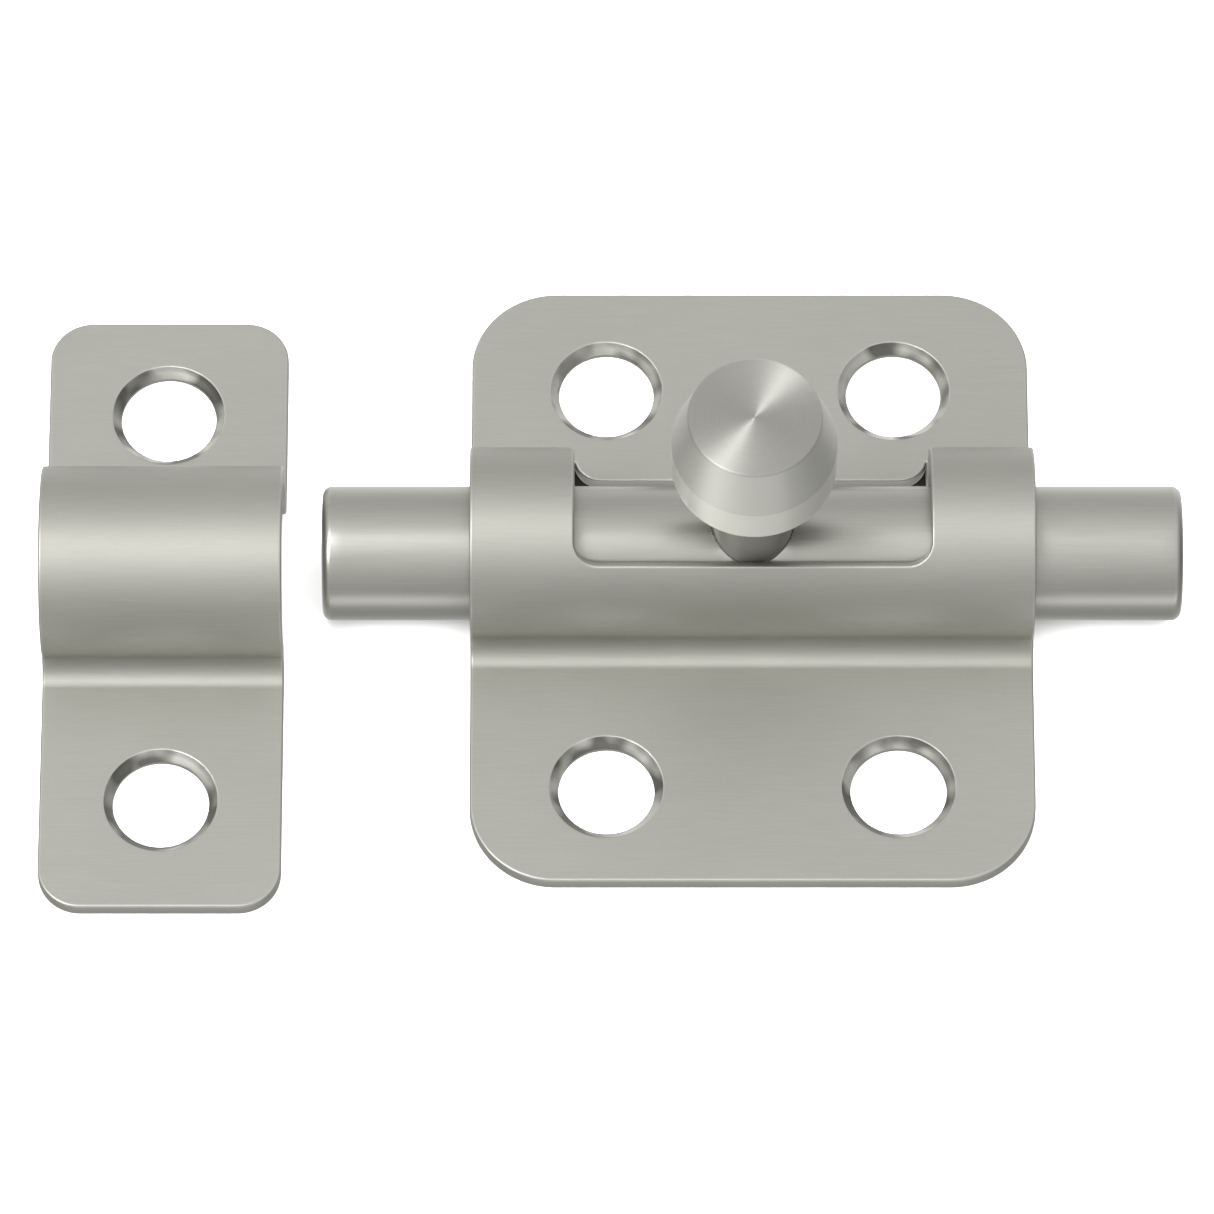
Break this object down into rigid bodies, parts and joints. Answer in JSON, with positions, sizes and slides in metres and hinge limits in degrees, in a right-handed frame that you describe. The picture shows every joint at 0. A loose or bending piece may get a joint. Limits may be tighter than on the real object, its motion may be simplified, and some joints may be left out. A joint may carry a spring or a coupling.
{
  "type": "barrel bolt",
  "caption": "Small surface barrel bolt with a pressed plate, a sliding round bolt with a turned knob, and a separate pressed strike.",
  "frame": {"origin": "centre of the barrel plate's four screw holes, on the mounting plane at the back of the plate", "axes": "+Z out of the door towards the knob, +X along the bolt away from the strike, +Y across the plate towards the flange that the window opens to"},
  "size_m": [0.0849, 0.052, 0.026],
  "materials": {
    "satin_nickel_sheet": "satin nickel plate over brushed pressed steel",
    "satin_nickel_rod": "satin nickel plate over drawn steel bar",
    "satin_nickel_knob": "satin nickel plate over a lathe-turned face",
    "spring_steel": "bright spring strip"
  },
  "bodies": {
    "plates": {"barrel_plate": "satin_nickel_sheet", "strike_plate": "satin_nickel_sheet"},
    "bolt": {"bolt_rod": "satin_nickel_rod", "knob": "satin_nickel_knob", "friction_spring": "spring_steel"}
  },
  "joints": [
    {"name": "bolt_slide", "type": "slide", "parent": "plates", "child": "bolt", "axis": [1, 0, 0], "range_m": [-0.0101, 0.0101]}
  ]
}
